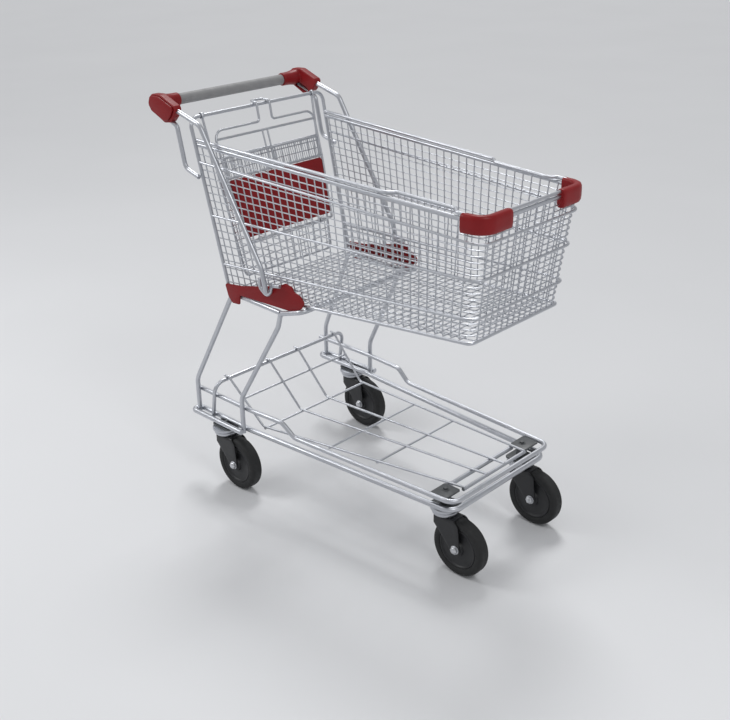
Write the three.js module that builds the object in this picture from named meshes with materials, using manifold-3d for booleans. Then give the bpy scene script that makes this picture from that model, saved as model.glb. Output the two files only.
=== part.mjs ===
// A wire shopping trolley: plated wire basket, bent-tube chassis, wire tray and four swivel castors.
// Millimetres. X runs forward, Y to the left of someone pushing it, Z up from the floor.
import * as THREE from "three";
import { mergeVertices } from "three/addons/utils/BufferGeometryUtils.js";
import Module from "manifold-3d";

const wasm = await Module();
wasm.setup();

// Driving dimensions

const clearance = 0.3; // between pieces that touch
const wheelFacets = 16; // sides of the turned hub and tyre

// Castors
const wheelRadius = 70;
const tyreWidth = 34;
const tyreDepth = 17; // rubber, from tread to hub rim
const hubWidth = 24;
const axleBoltRadius = 4.5;
const axleNutRadius = 9;
const axleNutDepth = 8;
const forkPlate = 3;
const forkSideGap = 2; // between tyre and fork leg
const forkHead = 5; // thickness of the fork's top
const forkTip = 14; // radius of the fork leg's end
const forkTrail = 48; // the axle stands this far ahead of the swivel
const raceRadius = 36;
const raceHeight = 9;
const headPlate = 4.4;
const frontSwivelX = 385;
const rearSwivelX = -277;
const frontSwivelY = 144;

// Chassis
const railRadius = 7;
const railHeight = 2 * wheelRadius + 32; // centre of the lower rail
const railRearX = -395;
const railFrontX = 430;
const railRearY = 222;
const railFrontY = 174;
const railTaperX = -203; // behind this the rail runs straight
const railCornerBend = 28;
const upperRailRadius = 6;
const upperRailRearHeight = railHeight + 58;
const upperRailFrontHeight = railHeight + 28;
const upperRailFrontX = 437;
const upperRailFrontY = 180;
const jogRearX = -80;
const jogFrontX = -42;
const postRadius = 6;

// Supports between chassis and basket
const kneeHeight = railHeight + 90; // the posts leave the vertical here
const seatTubeY = 204; // the two tubes that the basket stands on
const frontPostX = -206;
const frontPostTopX = -72;
const rearPostAhead = 8.4336; // its level run starts this far ahead of the rear frame's foot

// Tray
const trayWire = 3; // radius
const trayHoopRadius = 5;
const trayHoopX = -328;
const trayHoopTopX = -312;
const trayHoopTop = railHeight + 96;
const trayFootX = -193;
const trayFootHeight = railHeight - 6;
const trayFrontX = 416;
const trayFrontHeight = railHeight + 31;
const trayOuterY = { hoop: 193, front: 112 };
const trayInnerY = { hoop: 52, front: 33 };
const trayCrossX = [26, 171];
const crossBarX = 371;
const crossBarRadius = 5.5;

// Basket, centre lines of the walls
const basket = {
  topRearZ: 880,
  topFrontZ: 843.8,
  bottomRearZ: 538,
  bottomFrontZ: 583,
  topRearY: 212,
  topFrontY: 169,
  bottomRearY: 203,
  bottomFrontY: 155,
  topFrontX: 485,
  bottomFrontX: 452,
};
const rearFrameTop = 942;
const rearFrameTopX = -353;
const rearFrameLean = 0.2316; // run forward for each millimetre down
const rearFrameRadius = 4.5;
const rearFrameY = { top: 217, bottom: 207 };
const railWire = 4; // radius of the two top rails
const railPitch = 10;
const hoopWire = 3;
const floorFrameWire = 4;
const meshWire = 4; // width of the fine wires
const wallLevels = 19; // equal gaps between the lower top rail and the floor
const levelStride = 2;
const hoops = {
  upper: { rear: 0.114, front: 0.162 }, // share of the way down from top rail to floor
  middle: { rear: 0.482, front: 0.463 },
  lower: { rear: 0.825, front: 0.797 },
};
const sideUprights = 5;
const frontUprights = 3;
const floorRuns = 8;
const floorCrossings = 5;
const wallCorner = 30; // radius of the two front corners
const jogInset = 18; // how far the upper top rail steps inward
const insetStartX = 248;
const insetEndX = 412;

// Handle
const gripRadius = 13.3;
const gripHalfLength = 169;
const handleBarRadius = 10;
const handleX = -455;
const handleHeight = 966;
const handleTubeRadius = 6;
const handleTubeY = rearFrameY.top + rearFrameRadius + clearance + handleTubeRadius;
const capInnerY = 198;
const capOuterY = 247;
const braceTopX = -303;
const braceTopHeight = handleHeight - 33;
const braceFootX = -100;
const braceFootHeight = basket.bottomRearZ + 36;

// Plastic corner bumpers and side plates
const bumperThickness = 6;
const bumperHeight = 40;
const bumperSideX = 432;
const bumperFrontY = 80;
const plateThickness = 4.5;

// Gate with the folded child seat
const gateWire = 3;
const gateEyeY = 180; // the side wires end here in eyes on the top bar
const gateBottomHalf = 148;
const gateTopZ = 838; // the mesh starts here; only the side wires go on up
const gateBottomZ = basket.bottomRearZ + 14;
const gateBend = 12; // radius of its four corners
const gateUprights = 7;
const gateBars = 5;
const seatWire = 3;
const seatTop = { x: -333.1, z: 904, half: 163 };
const seatLean = 0.307; // steeper than the gate, so the seat's foot stands further forward
const seatKnee = { z: 790, half: 158.7 }; // below this the side wires draw in
const seatArmZ = gateTopZ - ((gateTopZ - gateBottomZ) * 3) / (gateBars - 1); // at its fourth bar
const seatHinge = { z: seatArmZ + 16.5, half: 144 }; // the rod that the seat tilts on
const seatRods = [884, 840, 793];
const seatPostY = [-16, 0];
const seatFineWires = 9;
const panelTopZ = 788;
const panelBottomZ = 651;
const panelThickness = 5;
const hookHalfWidth = 21;
const hookReach = 15; // from a hook leg to where the top rod goes on
const hookY = 3;
const hookTopX = -341.5;

// Materials

const plated = { color: 0xc4c6ca, metalness: 1, roughness: 0.28 };
const tubeSteel = { color: 0xb6b8bd, metalness: 1, roughness: 0.3 };
const redPlastic = { color: 0x8e1b1f, metalness: 0, roughness: 0.45 };
const gripPlastic = { color: 0x8d8d8d, metalness: 0, roughness: 0.6 };
const blackSteel = { color: 0x2a2b2e, metalness: 0.2, roughness: 0.5 };
const rubber = { color: 0x1c1d1f, metalness: 0, roughness: 0.75 };
const hubPlastic = { color: 0x26272a, metalness: 0, roughness: 0.55 };
const nutSteel = { color: 0xc9cacd, metalness: 1, roughness: 0.35 };

// Geometry helpers

const at = (x, y, z) => new THREE.Vector3(x, y, z);
const mix = (a, b, t) => a + (b - a) * t;
const mirrored = (p) => at(p.x, -p.y, p.z);

// A rod's centre line: straight runs joined by arcs. Each station is one step of the sweep.
class RodPath extends THREE.Curve {
  constructor(corners, arcStep) {
    super();
    this.stations = [];
    corners.forEach(({ point, bend = 0 }, i) => {
      const before = corners[i - 1]?.point;
      const after = corners[i + 1]?.point;
      if (!bend || !before || !after) {
        this.stations.push(point.clone());
        return;
      }
      const arriving = point.clone().sub(before).normalize();
      const leaving = after.clone().sub(point).normalize();
      const turn = arriving.angleTo(leaving);
      const setback = bend * Math.tan(turn / 2);
      const inward = leaving.clone().addScaledVector(arriving, -arriving.dot(leaving)).normalize();
      const start = point.clone().addScaledVector(arriving, -setback);
      const centre = start.clone().addScaledVector(inward, bend);
      const steps = Math.max(1, Math.round(turn / arcStep));
      for (let k = 0; k <= steps; k++) {
        const angle = (turn * k) / steps;
        this.stations.push(
          centre
            .clone()
            .addScaledVector(inward, -bend * Math.cos(angle))
            .addScaledVector(arriving, bend * Math.sin(angle)),
        );
      }
    });
    this.steps = this.stations.length - 1;
  }
  getPointAt(u, target = at(0, 0, 0)) {
    return target.copy(this.stations[Math.round(u * this.steps)]);
  }
  getTangentAt(u, target = at(0, 0, 0)) {
    const i = Math.round(u * this.steps);
    const here = this.stations[i];
    const back = this.stations[Math.max(0, i - 1)];
    const next = this.stations[Math.min(this.steps, i + 1)];
    const arriving = i === 0 ? next.clone().sub(here) : here.clone().sub(back);
    const leaving = i === this.steps ? here.clone().sub(back) : next.clone().sub(here);
    return target.copy(arriving.normalize()).add(leaving.normalize()).normalize();
  }
}

const corner = (x, y, z, bend = 0) => ({ point: at(x, y, z), bend });
const mirrorCorners = (corners) =>
  corners.map(({ point, bend }) => ({ point: mirrored(point), bend })).reverse();

function solid(geometry) {
  const bare = geometry.clone();
  ["normal", "uv"].forEach((name) => bare.deleteAttribute(name));
  const merged = mergeVertices(bare, 1e-3);
  const made = new wasm.Manifold(
    new wasm.Mesh({
      numProp: 3,
      vertProperties: new Float32Array(merged.attributes.position.array),
      triVerts: new Uint32Array(merged.index.array),
    }),
  );
  if (made.volume() >= 0) return made;
  const turned = new Uint32Array(merged.index.array);
  for (let i = 0; i < turned.length; i += 3) {
    [turned[i + 1], turned[i + 2]] = [turned[i + 2], turned[i + 1]];
  }
  return new wasm.Manifold(
    new wasm.Mesh({
      numProp: 3,
      vertProperties: new Float32Array(merged.attributes.position.array),
      triVerts: turned,
    }),
  );
}

function geometryOf(made) {
  const mesh = made.getMesh();
  const positions = new Float32Array(mesh.numVert * 3);
  for (let i = 0; i < mesh.numVert; i++) {
    const from = i * mesh.numProp;
    positions.set(mesh.vertProperties.subarray(from, from + 3), i * 3);
  }
  return new THREE.BufferGeometry()
    .setAttribute("position", new THREE.BufferAttribute(positions, 3))
    .setIndex(new THREE.BufferAttribute(new Uint32Array(mesh.triVerts), 1));
}

const join = (...parts) =>
  geometryOf(parts.map(solid).reduce((whole, part) => whole.add(part)));
const cut = (body, ...tools) =>
  geometryOf(tools.map(solid).reduce((rest, tool) => rest.subtract(tool), solid(body)));

// A round rod along bent corners; few sides on thin wires.
function rod(corners, radius, sides = 8, arcStep = Math.PI / 8) {
  const path = new RodPath(corners, arcStep);
  const outline = Array.from({ length: sides }, (_, i) => {
    const angle = ((i + 0.5) / sides) * 2 * Math.PI;
    return new THREE.Vector2(radius * Math.cos(angle), radius * Math.sin(angle));
  });
  return geometryOf(
    solid(
      new THREE.ExtrudeGeometry(new THREE.Shape(outline), {
        steps: path.steps,
        extrudePath: path,
        bevelEnabled: false,
      }),
    ),
  );
}

const straightRod = (from, to, radius, sides = 8) =>
  rod([{ point: from }, { point: to }], radius, sides);

// A straight bar of square section from one point to another, one face along the given normal.
function bar(from, to, width, normal) {
  const along = to.clone().sub(from);
  const across = normal.clone().cross(along).normalize();
  const up = along.clone().cross(across).normalize();
  const turn = new THREE.Matrix4().makeBasis(along.clone().normalize(), across, up);
  return new THREE.BoxGeometry(along.length(), width, width)
    .applyMatrix4(turn)
    .translate(...from.clone().add(to).multiplyScalar(0.5).toArray());
}

// Turned about Z: the profile lists [radius, height] pairs and closes on itself or on the axis.
const turned = (profile, segments) =>
  new THREE.LatheGeometry(
    profile.map(([r, z]) => new THREE.Vector2(r, z)),
    segments,
  ).rotateX(Math.PI / 2);

const disc = (radius, z0, z1, segments = 16) =>
  turned([[0, z0], [radius, z0], [radius, z1], [0, z1]], segments);

// An outline in X and Z given a thickness along Y, from y0 to y1.
const sideSlab = (outline, y0, y1) =>
  new THREE.ExtrudeGeometry(new THREE.Shape(outline.map(([x, z]) => new THREE.Vector2(x, z))), {
    depth: y1 - y0,
    bevelEnabled: false,
  })
    .rotateX(Math.PI / 2)
    .translate(0, y1, 0);

// An outline in X and Y given a height along Z.
const flatSlab = (outline, z0, z1) =>
  new THREE.ExtrudeGeometry(new THREE.Shape(outline.map(([x, y]) => new THREE.Vector2(x, y))), {
    depth: z1 - z0,
    bevelEnabled: false,
  }).translate(0, 0, z0);

const trolley = new THREE.Group();
trolley.name = "trolley";

function piece(name, geometry, finish, parent = trolley) {
  const mesh = new THREE.Mesh(geometry, new THREE.MeshStandardMaterial(finish));
  mesh.name = name;
  parent.add(mesh);
  return mesh;
}

// Both sides of the trolley: the left one as made, the right one mirrored.
function pair(name, geometry, finish) {
  piece(name + "_left", geometry, finish);
  piece(name + "_right", geometryOf(solid(geometry.clone().scale(1, -1, 1))), finish);
}

// Lower rail: one tube round the chassis, doubled back on itself at the rear so that posts and
// castor plates stand between its two legs.
const hairpinBend = railRadius + postRadius - clearance;
const outerLegY = railRearY + 2 * hairpinBend;
const postY = railRearY + hairpinBend;
const lowerRailHalf = [
  corner(frontPostX + 6, outerLegY, railHeight),
  corner(railRearX, outerLegY, railHeight, hairpinBend),
  corner(railRearX, railRearY, railHeight, hairpinBend),
  corner(railTaperX, railRearY, railHeight, 60),
  corner(railFrontX, railFrontY, railHeight, railCornerBend),
];
piece(
  "chassis_lower_rail",
  rod([...lowerRailHalf, ...mirrorCorners(lowerRailHalf)], railRadius),
  plated,
);

// Upper rail: raised at the rear, stepping down ahead of the posts, then round the front.
const upperRailRearY = postY - postRadius - upperRailRadius - clearance / 3;
const jogY = { rear: railRearY - 8, front: railRearY - 12 };
const upperRailHalf = [
  corner(railRearX + 1, upperRailRearY, upperRailRearHeight),
  corner(frontPostX + 2 * postRadius, upperRailRearY, upperRailRearHeight, 60),
  corner(jogRearX, jogY.rear, upperRailRearHeight, 30),
  corner(jogFrontX, jogY.front, upperRailFrontHeight, 30),
  corner(upperRailFrontX, upperRailFrontY, upperRailFrontHeight, 26),
];
piece(
  "chassis_upper_rail",
  rod([...upperRailHalf, ...mirrorCorners(upperRailHalf)], upperRailRadius),
  plated,
);

const rearFrameX = (z) => rearFrameTopX + (rearFrameTop - z) * rearFrameLean;

// The basket's floor frame, which rises to the front, lies on the seat tubes' rear ends.
const frameSlope =
  (basket.bottomFrontZ - basket.bottomRearZ) /
  (basket.bottomFrontX - rearFrameX(basket.bottomRearZ));
const frameRunToTube = 13.6; // along the frame, from the walls' rear corner to the tube's end
const frameRiseAtTube = frameSlope * frameRunToTube + 0.339765; // and its round corner's lift
const seatTubeHeight =
  basket.bottomRearZ - 2 * floorFrameWire - postRadius + frameRiseAtTube - clearance;

// Front support: one tube from a foot between the rail's legs, up and forward, across under the
// basket and down the other side.
const postFoot = railHeight - railRadius;
const frontHoopHalf = [
  corner(frontPostX, postY, postFoot),
  corner(frontPostX, postY, kneeHeight, 60),
  corner(frontPostTopX - 10, seatTubeY + 4, seatTubeHeight - 42, 50),
  corner(frontPostTopX, seatTubeY, seatTubeHeight, 18),
];
piece(
  "front_support_hoop",
  rod([...frontHoopHalf, ...mirrorCorners(frontHoopHalf)], postRadius, 8, Math.PI / 7),
  tubeSteel,
);

// Rear supports: up from the rail's hairpin, forward under the basket's side.
const hairpinCentreX = railRearX + hairpinBend;
const rearPostTopX = rearFrameX(basket.bottomRearZ) + rearPostAhead;
pair(
  "rear_support",
  rod(
    [
      corner(hairpinCentreX, postY, postFoot),
      corner(hairpinCentreX, postY, kneeHeight, 60),
      corner(rearPostTopX, seatTubeY, seatTubeHeight, 22),
      corner(frontPostTopX - 2 * postRadius - clearance, seatTubeY, seatTubeHeight),
    ],
    postRadius,
    8,
    Math.PI / 7,
  ),
  tubeSteel,
);

// Tray hoop: raised bar behind the tray, its feet between the rail's legs.
const trayHoopY = railRearY + railRadius + trayHoopRadius - clearance;
const trayHoopHalf = [
  corner(trayHoopX, trayHoopY, postFoot),
  corner(trayHoopTopX, trayHoopY, trayHoopTop, 28),
];
piece(
  "tray_rear_hoop",
  rod([...trayHoopHalf, ...mirrorCorners(trayHoopHalf)], trayHoopRadius, 8, Math.PI / 7),
  plated,
);

// Tray: four long wires that climb at the rear, with cross wires welded under them.
function trayRunY(spread, x) {
  return mix(spread.hoop, spread.front, (x - trayHoopTopX) / (trayFrontX - trayHoopTopX));
}
const trayFloorZ = (x) =>
  mix(trayFootHeight, trayFrontHeight, (x - trayFootX) / (trayFrontX - trayFootX));
const climbTop = at(trayHoopTopX + trayHoopRadius + 1, 0, trayHoopTop + trayHoopRadius + trayWire);
const climbZ = (x) =>
  mix(climbTop.z, trayFootHeight, (x - climbTop.x) / (trayFootX - climbTop.x));
const trayRuns = [trayOuterY, trayInnerY].flatMap((spread) =>
  [1, -1].map((side) =>
    rod(
      [
        corner(climbTop.x - 14, side * trayRunY(spread, climbTop.x), climbZ(climbTop.x)),
        corner(climbTop.x, side * trayRunY(spread, climbTop.x), climbZ(climbTop.x)),
        corner(trayFootX, side * trayRunY(spread, trayFootX), trayFootHeight, 14),
        corner(trayFrontX, side * trayRunY(spread, trayFrontX), trayFrontHeight),
      ],
      trayWire,
      6,
      Math.PI / 5,
    ),
  ),
);
function trayCross(x, z, reachBeyond = 0) {
  const reach = trayRunY(trayOuterY, x) + reachBeyond;
  return straightRod(at(x, -reach, z), at(x, reach, z), trayWire, 6);
}
const underRun = 1.2 * trayWire;
const climbMiddleX = mix(climbTop.x, trayFootX, 0.42);
piece(
  "tray_rack",
  join(
    ...trayRuns,
    trayCross(climbMiddleX, climbZ(climbMiddleX) - underRun, trayWire),
    trayCross(trayFootX + 8, trayFloorZ(trayFootX + 8) - underRun, trayWire),
    ...trayCrossX.map((x) => trayCross(x, trayFloorZ(x) - underRun, trayWire)),
    trayCross(trayFrontX - 2, trayFrontHeight - underRun, trayWire),
  ),
  plated,
);

// Cross bar between the two front castor plates, under the tray wires.
const crossBarHeight = trayFloorZ(crossBarX) - trayWire - crossBarRadius;
const frontPlateInnerY = frontSwivelY - 22;
piece(
  "front_cross_bar",
  straightRod(
    at(crossBarX, -frontPlateInnerY + clearance, crossBarHeight),
    at(crossBarX, frontPlateInnerY - clearance, crossBarHeight),
    crossBarRadius,
  ),
  plated,
);

// Castors

const axleHeight = wheelRadius;
const headBottom = railHeight - railRadius - clearance - headPlate;
const raceBottom = headBottom - raceHeight;
const forkTop = raceBottom - clearance;
const legInner = tyreWidth / 2 + forkSideGap;
const legOuter = legInner + forkPlate;

// The plate welded under the rails with the swivel race below it. The front ones also have a post
// and a plate at the height of the upper rail.
function castorHead(atFront) {
  const plateHalf = atFront ? 36 : 33;
  const plate = flatSlab(
    [[-plateHalf, -30], [plateHalf, -30], [plateHalf, 30], [-plateHalf, 30]],
    headBottom,
    headBottom + headPlate,
  );
  const race = turned(
    [
      [0, raceBottom],
      [raceRadius - 5, raceBottom],
      [raceRadius, raceBottom + 4],
      [raceRadius - 3, headBottom + 1],
      [0, headBottom + 1],
    ],
    16,
  );
  if (!atFront) {
    const boltHead = disc(postRadius - 0.5, headBottom + 1, railHeight + 2, 6);
    return join(plate, race, boltHead);
  }
  const top = upperRailFrontHeight - 4;
  const inner = frontPlateInnerY - frontSwivelY;
  const reachAt = (x) =>
    mix(jogY.front, upperRailFrontY, (x - jogFrontX) / (upperRailFrontX - jogFrontX)) -
    upperRailRadius - frontSwivelY;
  const rearEdge = crossBarX - crossBarRadius - frontSwivelX;
  const frontEdge = 26;
  return join(
    plate,
    race,
    disc(13, headBottom + 1, top + 1, 12),
    flatSlab(
      [
        [rearEdge, inner],
        [frontEdge, inner],
        [frontEdge, reachAt(frontSwivelX + frontEdge)],
        [rearEdge, reachAt(frontSwivelX + rearEdge)],
      ],
      top,
      top + 4,
    ),
    disc(8, top + 3, top + 9, 6),
  );
}

// Pressed fork: a flat head and two legs that slant forward to the axle.
function castorFork() {
  const head = flatSlab(
    [[-32, -legOuter], [34, -legOuter], [34, legOuter], [-32, legOuter]],
    forkTop - forkHead,
    forkTop,
  );
  const tip = Array.from({ length: 7 }, (_, i) => {
    const angle = (-5 / 6) * Math.PI + (i * Math.PI) / 6;
    return [forkTrail + forkTip * Math.cos(angle), axleHeight + forkTip * Math.sin(angle)];
  });
  const leg = [[-32, forkTop], [-32, forkTop - 18], ...tip, [54, forkTop - 22], [34, forkTop]];
  const boltHole = disc(axleBoltRadius + clearance, -legOuter - 1, legOuter + 1, 12)
    .rotateX(Math.PI / 2)
    .translate(forkTrail, 0, axleHeight);
  return cut(
    join(head, sideSlab(leg, legInner, legOuter), sideSlab(leg, -legOuter, -legInner)),
    boltHole,
  );
}

// Axle bolt with a nut at one side and a head at the other.
function axleBolt() {
  const outer = legOuter + clearance;
  return join(
    disc(axleBoltRadius, -outer - 1, outer + axleNutDepth, 8),
    disc(axleNutRadius, outer, outer + axleNutDepth - 2, 6),
    disc(axleNutRadius, -outer - axleNutDepth + 2, -outer, 6),
  )
    .rotateX(Math.PI / 2)
    .translate(forkTrail, 0, axleHeight);
}

// Moulded hub: rim, thin web and a bored boss.
function castorHub() {
  const rim = wheelRadius - tyreDepth;
  const half = hubWidth / 2;
  const bore = axleBoltRadius + clearance;
  const boss = legInner - clearance;
  return turned(
    [
      [bore, -boss],
      [16, -boss],
      [18, -5],
      [rim - 8, -5],
      [rim - 5, -half],
      [rim, -half],
      [rim, half],
      [rim - 5, half],
      [rim - 8, 5],
      [18, 5],
      [16, boss],
      [bore, boss],
      [bore, -boss],
    ],
    wheelFacets,
  )
    .rotateX(Math.PI / 2)
    .translate(forkTrail, 0, axleHeight);
}

// Solid tyre with rounded shoulders.
function castorTyre() {
  const half = tyreWidth / 2;
  const inner = wheelRadius - tyreDepth + clearance;
  return turned(
    [
      [inner, -half + 3],
      [wheelRadius - 9, -half],
      [wheelRadius, -half + 9],
      [wheelRadius, half - 9],
      [wheelRadius - 9, half],
      [inner, half - 3],
      [inner, -half + 3],
    ],
    wheelFacets,
  )
    .rotateX(Math.PI / 2)
    .translate(forkTrail, 0, axleHeight);
}

for (const [name, x, y, atFront] of [
  ["front_left", frontSwivelX, frontSwivelY, true],
  ["front_right", frontSwivelX, -frontSwivelY, true],
  ["rear_left", rearSwivelX, postY, false],
  ["rear_right", rearSwivelX, -postY, false],
]) {
  const castor = new THREE.Group();
  castor.position.set(x, y, 0);
  trolley.add(castor);
  const head = y > 0 ? castorHead(atFront) : geometryOf(solid(castorHead(atFront).scale(1, -1, 1)));
  piece("castor_head_" + name, head, plated, castor);
  piece("castor_fork_" + name, castorFork(), blackSteel, castor);
  piece("castor_axle_" + name, axleBolt(), nutSteel, castor);
  piece("castor_hub_" + name, castorHub(), hubPlastic, castor);
  piece("castor_tyre_" + name, castorTyre(), rubber, castor);
}

// Basket walls. Each wall is a four-cornered surface; its wires follow the two sets of straight
// lines in it, the level wires outside and the uprights inside, sunk into each other at the welds.

const wallInset = rearFrameRadius + meshWire / 2 + clearance;
const rearTop = at(rearFrameX(basket.topRearZ) + wallInset, basket.topRearY, basket.topRearZ);
const rearBottom = at(
  rearFrameX(basket.bottomRearZ) + wallInset,
  basket.bottomRearY,
  basket.bottomRearZ,
);
const frontTop = at(basket.topFrontX, basket.topFrontY, basket.topFrontZ);
const frontBottom = at(basket.bottomFrontX, basket.bottomFrontY, basket.bottomFrontZ);

const surfacePoint = (patch, s, t) =>
  patch[0].clone().lerp(patch[1], s).lerp(patch[2].clone().lerp(patch[3], s), t);

function surfaceNormal(patch, s, t) {
  const step = 0.01;
  const alongS = surfacePoint(patch, s + step, t).sub(surfacePoint(patch, s - step, t));
  const alongT = surfacePoint(patch, s, t + step).sub(surfacePoint(patch, s, t - step));
  return alongS.cross(alongT).normalize();
}

function wireWall(patch, levels, uprights, outward) {
  const shift = 0.3 * meshWire * outward;
  const line = (s0, t0, s1, t1, offset) => {
    const normal = surfaceNormal(patch, (s0 + s1) / 2, (t0 + t1) / 2);
    const ends = [surfacePoint(patch, s0, t0), surfacePoint(patch, s1, t1)];
    return bar(...ends.map((p) => p.addScaledVector(normal, offset)), meshWire, normal);
  };
  const level = (t) => line(0, t, 1, t, shift);
  const upright = (s) => line(s, levels[0], s, levels[levels.length - 1], -shift);
  return join(...uprights.map(upright), ...levels.map(level));
}

const spaced = (count, margin) =>
  Array.from({ length: count }, (_, i) => mix(margin, 1 - margin, i / (count - 1)));

const wallHeightShare = 0.991; // the walls stop just short of the top rail and the floor frame
const wallLevelShares = [];
for (let i = levelStride; i < wallLevels; i += levelStride) {
  wallLevelShares.push(mix(1 - wallHeightShare, wallHeightShare, i / wallLevels));
}
wallLevelShares.push(wallHeightShare);
wallLevelShares.unshift(1.4 * (1 - wallHeightShare) + 0.012);

const cornerShare = 1 - wallCorner / (frontTop.x - rearTop.x);
const sidePatch = [
  rearTop,
  rearTop.clone().lerp(frontTop, cornerShare),
  rearBottom,
  rearBottom.clone().lerp(frontBottom, cornerShare),
];
pair("basket_side_wall", wireWall(sidePatch, wallLevelShares, spaced(sideUprights, 0.012), 1), plated);

const frontInset = wallCorner;
const frontPatch = [
  at(frontTop.x, -frontTop.y + frontInset, frontTop.z),
  at(frontTop.x, frontTop.y - frontInset, frontTop.z),
  at(frontBottom.x, -frontBottom.y + frontInset, frontBottom.z),
  at(frontBottom.x, frontBottom.y - frontInset, frontBottom.z),
];
piece(
  "basket_front_wall",
  wireWall(frontPatch, wallLevelShares, spaced(frontUprights, 0.04), -1),
  plated,
);

// A half-loop round the basket: from the rear frame to the front corner, then mirrored.
const rearReach = meshWire / 2 - clearance;
function wallLoop(share, offset, radius, drop = 0, cornerBend = wallCorner) {
  const rear = rearTop.clone().lerp(rearBottom, share.rear);
  const front = frontTop.clone().lerp(frontBottom, share.front);
  const half = [
    corner(rear.x - rearReach - drop * rearFrameLean, rear.y + offset, rear.z + drop),
    corner(front.x + offset, front.y + offset, front.z + drop, cornerBend),
  ];
  return rod([...half, ...mirrorCorners(half)], radius, 8, Math.PI / 8);
}

const loopOffset = 0.8 * meshWire + hoopWire + clearance; // clear of the level wires
for (const [name, share] of Object.entries(hoops)) {
  piece("basket_hoop_" + name, wallLoop(share, loopOffset, hoopWire), plated);
}
const atTop = { rear: 0, front: 0 };
const atFloor = { rear: 1, front: 1 };
piece("basket_second_rail", wallLoop(atTop, 0, railWire, railWire / 2), plated);

// Floor frame under the walls, and the floor's own wires inside it.
piece(
  "basket_floor_frame",
  wallLoop(atFloor, 0, floorFrameWire, -floorFrameWire, 14),
  plated,
);
const floorInset = floorFrameWire + clearance;
const floorRear = rearBottom.clone().setY(rearBottom.y - floorInset);
const floorFront = frontBottom.clone().setY(frontBottom.y - floorInset);
const floorPatch = [
  at(floorRear.x, -floorRear.y, floorRear.z - floorFrameWire),
  at(floorFront.x - floorInset, -floorFront.y, floorFront.z - floorFrameWire),
  at(floorRear.x, floorRear.y, floorRear.z - floorFrameWire),
  at(floorFront.x - floorInset, floorFront.y, floorFront.z - floorFrameWire),
];
piece(
  "basket_floor",
  wireWall(floorPatch, spaced(floorRuns, 0.06), spaced(floorCrossings, 0.025), 1),
  plated,
);

// Upper top rail: steps inward over the front half, then back out just before the corner.
const upperRailLift = railPitch + railWire / 2;
const topRailAt = (x, inset = 0) => {
  const share = (x - rearTop.x) / (frontTop.x - rearTop.x);
  return at(x, mix(rearTop.y, frontTop.y, share) - inset, mix(rearTop.z, frontTop.z, share) + upperRailLift);
};
const railHalf = [
  { point: topRailAt(rearFrameX(rearTop.z + upperRailLift) + wallInset - rearReach) },
  { point: topRailAt(insetStartX - 8), bend: 16 },
  { point: topRailAt(insetStartX + 8, jogInset), bend: 16 },
  { point: topRailAt(insetEndX - 8, jogInset), bend: 16 },
  { point: topRailAt(insetEndX + 8), bend: 16 },
  { point: topRailAt(frontTop.x), bend: wallCorner },
];
piece(
  "basket_top_rail",
  rod([...railHalf, ...mirrorCorners(railHalf)], railWire, 8, Math.PI / 8),
  plated,
);

// Rear frame: an inverted U that stands on the seat tubes; the gate hangs from its top bar.
const rearFrameFoot = seatTubeHeight + postRadius + clearance;
const rearFrameHalf = [
  corner(rearFrameX(rearFrameFoot), rearFrameY.bottom, rearFrameFoot),
  corner(rearFrameTopX, rearFrameY.top, rearFrameTop, 24),
];
piece(
  "basket_rear_frame",
  rod([...rearFrameHalf, ...mirrorCorners(rearFrameHalf)], rearFrameRadius),
  plated,
);

// Handle

const handleTubeEnd = at(braceFootX, handleTubeY, braceFootHeight);
const braceTubeStart = at(handleX + 22, handleTubeY, handleHeight + 5);
const braceTubeTurn = at(braceTopX, handleTubeY, braceTopHeight);
const rearTubeStart = at(handleX + 26, handleTubeY, handleHeight - 31);
const rearTubeTurn = at(handleX + 67, handleTubeY, handleHeight - 45);
const rearTubeFoot = handleHeight - 157;
pair(
  "handle_brace_tube",
  rod(
    [
      { point: braceTubeStart },
      { point: braceTubeTurn, bend: 26 },
      { point: handleTubeEnd },
    ],
    handleTubeRadius,
    8,
    Math.PI / 7,
  ),
  tubeSteel,
);
pair(
  "handle_rear_tube",
  rod(
    [
      { point: rearTubeStart },
      { point: rearTubeTurn, bend: 14 },
      corner(handleX + 88, handleTubeY, rearTubeFoot + 14, 22),
      corner(rearFrameX(rearTubeFoot - 1) + 4, handleTubeY, rearTubeFoot),
    ],
    handleTubeRadius - 0.5,
    8,
    Math.PI / 7,
  ),
  tubeSteel,
);
const barEndY = capOuterY - 14;
const beyond = (from, to, length) =>
  from.clone().addScaledVector(to.clone().sub(from).normalize(), length);
piece(
  "handle_bar",
  straightRod(at(handleX, -barEndY, handleHeight), at(handleX, barEndY, handleHeight), handleBarRadius, 12),
  tubeSteel,
);
piece(
  "handle_grip",
  cut(
    straightRod(
      at(handleX, -gripHalfLength, handleHeight),
      at(handleX, gripHalfLength, handleHeight),
      gripRadius,
      18,
    ),
    straightRod(
      at(handleX, -gripHalfLength - 1, handleHeight),
      at(handleX, gripHalfLength + 1, handleHeight),
      handleBarRadius + clearance,
      12,
    ),
  ),
  gripPlastic,
);

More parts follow.
